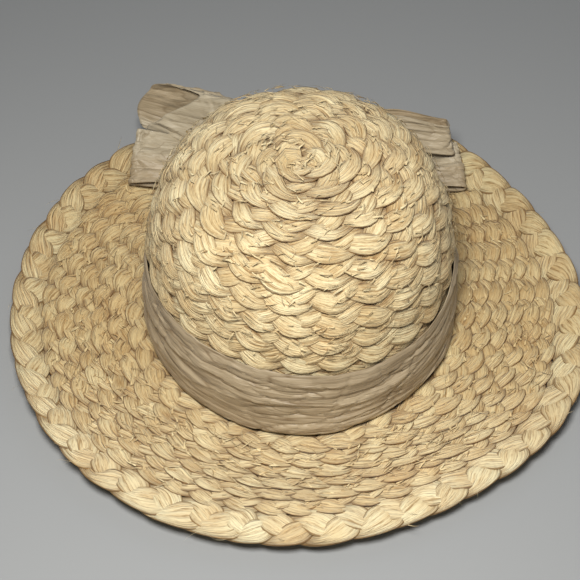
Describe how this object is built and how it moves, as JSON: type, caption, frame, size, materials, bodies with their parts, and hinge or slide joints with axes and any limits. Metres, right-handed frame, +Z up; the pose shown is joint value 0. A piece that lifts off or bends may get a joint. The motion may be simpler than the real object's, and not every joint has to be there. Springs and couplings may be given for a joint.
{
  "type": "straw hat",
  "caption": "Wide-brimmed sun hat with a domed crown of plaited straw, a wavy brim edged with a heavy plait, and a creased ribbon band tied in a bow at the back.",
  "frame": {"origin": "on the surface that the brim rests on, under the middle of the rim's outline seen from above", "axes": "+Z up through the crown; -Y towards the front of the hat; +Y towards the bow at the back; +X towards the wearer's left"},
  "size_m": [0.3275, 0.3305, 0.1152],
  "materials": {
    "straw": "natural undyed plaited straw, matt with a faint sheen",
    "straw_rim": "coarser plaited straw of the edge plait, matt with a faint sheen",
    "ribbon": "creased taupe ribbon of woven straw fibre, slight satin sheen",
    "ribbon_bow": "the same ribbon folded into the bow, slight satin sheen"
  },
  "bodies": {
    "root": {"crown": "straw", "brim": "straw", "rim_braid": "straw_rim", "band": "ribbon", "bow_knot": "ribbon_bow", "bow_loop_lower_left": "ribbon_bow", "bow_loop_lower_right": "ribbon_bow", "bow_loop_upper_left": "ribbon_bow", "bow_loop_upper_right": "ribbon_bow"}
  },
  "joints": []
}
